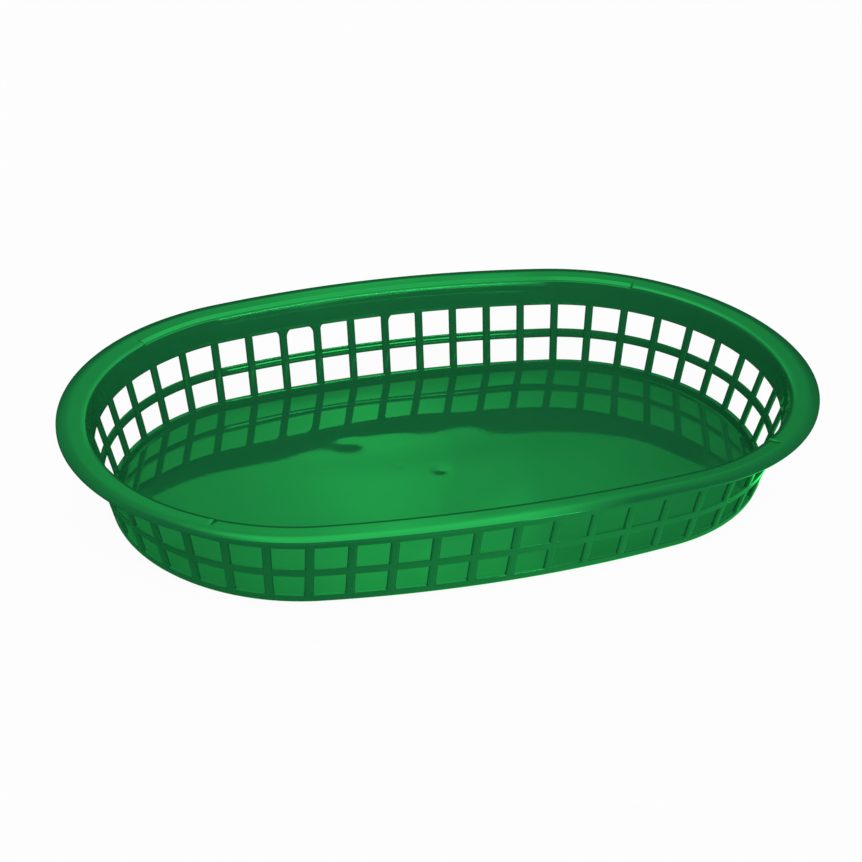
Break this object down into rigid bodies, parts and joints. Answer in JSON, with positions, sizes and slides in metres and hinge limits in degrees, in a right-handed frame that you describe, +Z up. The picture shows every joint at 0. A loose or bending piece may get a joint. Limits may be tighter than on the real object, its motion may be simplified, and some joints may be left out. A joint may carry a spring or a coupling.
{
  "type": "food basket",
  "caption": "Oval moulded plastic food basket with an open lattice wall, a flat floor and a rolled-out rim.",
  "frame": {"origin": "centre of the oval at the underside of the base", "axes": "+X along the length of the oval, +Y across it, +Z up out of the open mouth"},
  "size_m": [0.273, 0.1764, 0.0357],
  "materials": {
    "green_plastic": "glossy injection-moulded polypropylene, green right through"
  },
  "bodies": {
    "root": {"floor_plate": "green_plastic", "lower_band": "green_plastic", "mid_rail": "green_plastic", "upper_band": "green_plastic", "bar_01": "green_plastic", "bar_02": "green_plastic", "bar_03": "green_plastic", "bar_04": "green_plastic", "bar_05": "green_plastic", "bar_06": "green_plastic", "bar_07": "green_plastic", "bar_08": "green_plastic", "bar_09": "green_plastic", "bar_10": "green_plastic", "bar_11": "green_plastic", "bar_12": "green_plastic", "bar_13": "green_plastic", "bar_14": "green_plastic", "bar_15": "green_plastic", "bar_16": "green_plastic", "bar_17": "green_plastic", "bar_18": "green_plastic", "bar_19": "green_plastic", "bar_20": "green_plastic", "bar_21": "green_plastic", "bar_22": "green_plastic", "bar_23": "green_plastic", "bar_24": "green_plastic", "bar_25": "green_plastic", "bar_26": "green_plastic", "bar_27": "green_plastic", "bar_28": "green_plastic", "bar_29": "green_plastic", "bar_30": "green_plastic", "bar_31": "green_plastic", "bar_32": "green_plastic", "bar_33": "green_plastic", "bar_34": "green_plastic", "bar_35": "green_plastic", "bar_36": "green_plastic", "bar_37": "green_plastic", "bar_38": "green_plastic", "bar_39": "green_plastic", "bar_40": "green_plastic", "bar_41": "green_plastic", "bar_42": "green_plastic", "bar_43": "green_plastic", "bar_44": "green_plastic", "bar_45": "green_plastic", "bar_46": "green_plastic", "bar_47": "green_plastic", "bar_48": "green_plastic", "rim_right_end": "green_plastic", "rim_back": "green_plastic", "rim_left_end": "green_plastic", "rim_front": "green_plastic"}
  },
  "joints": []
}
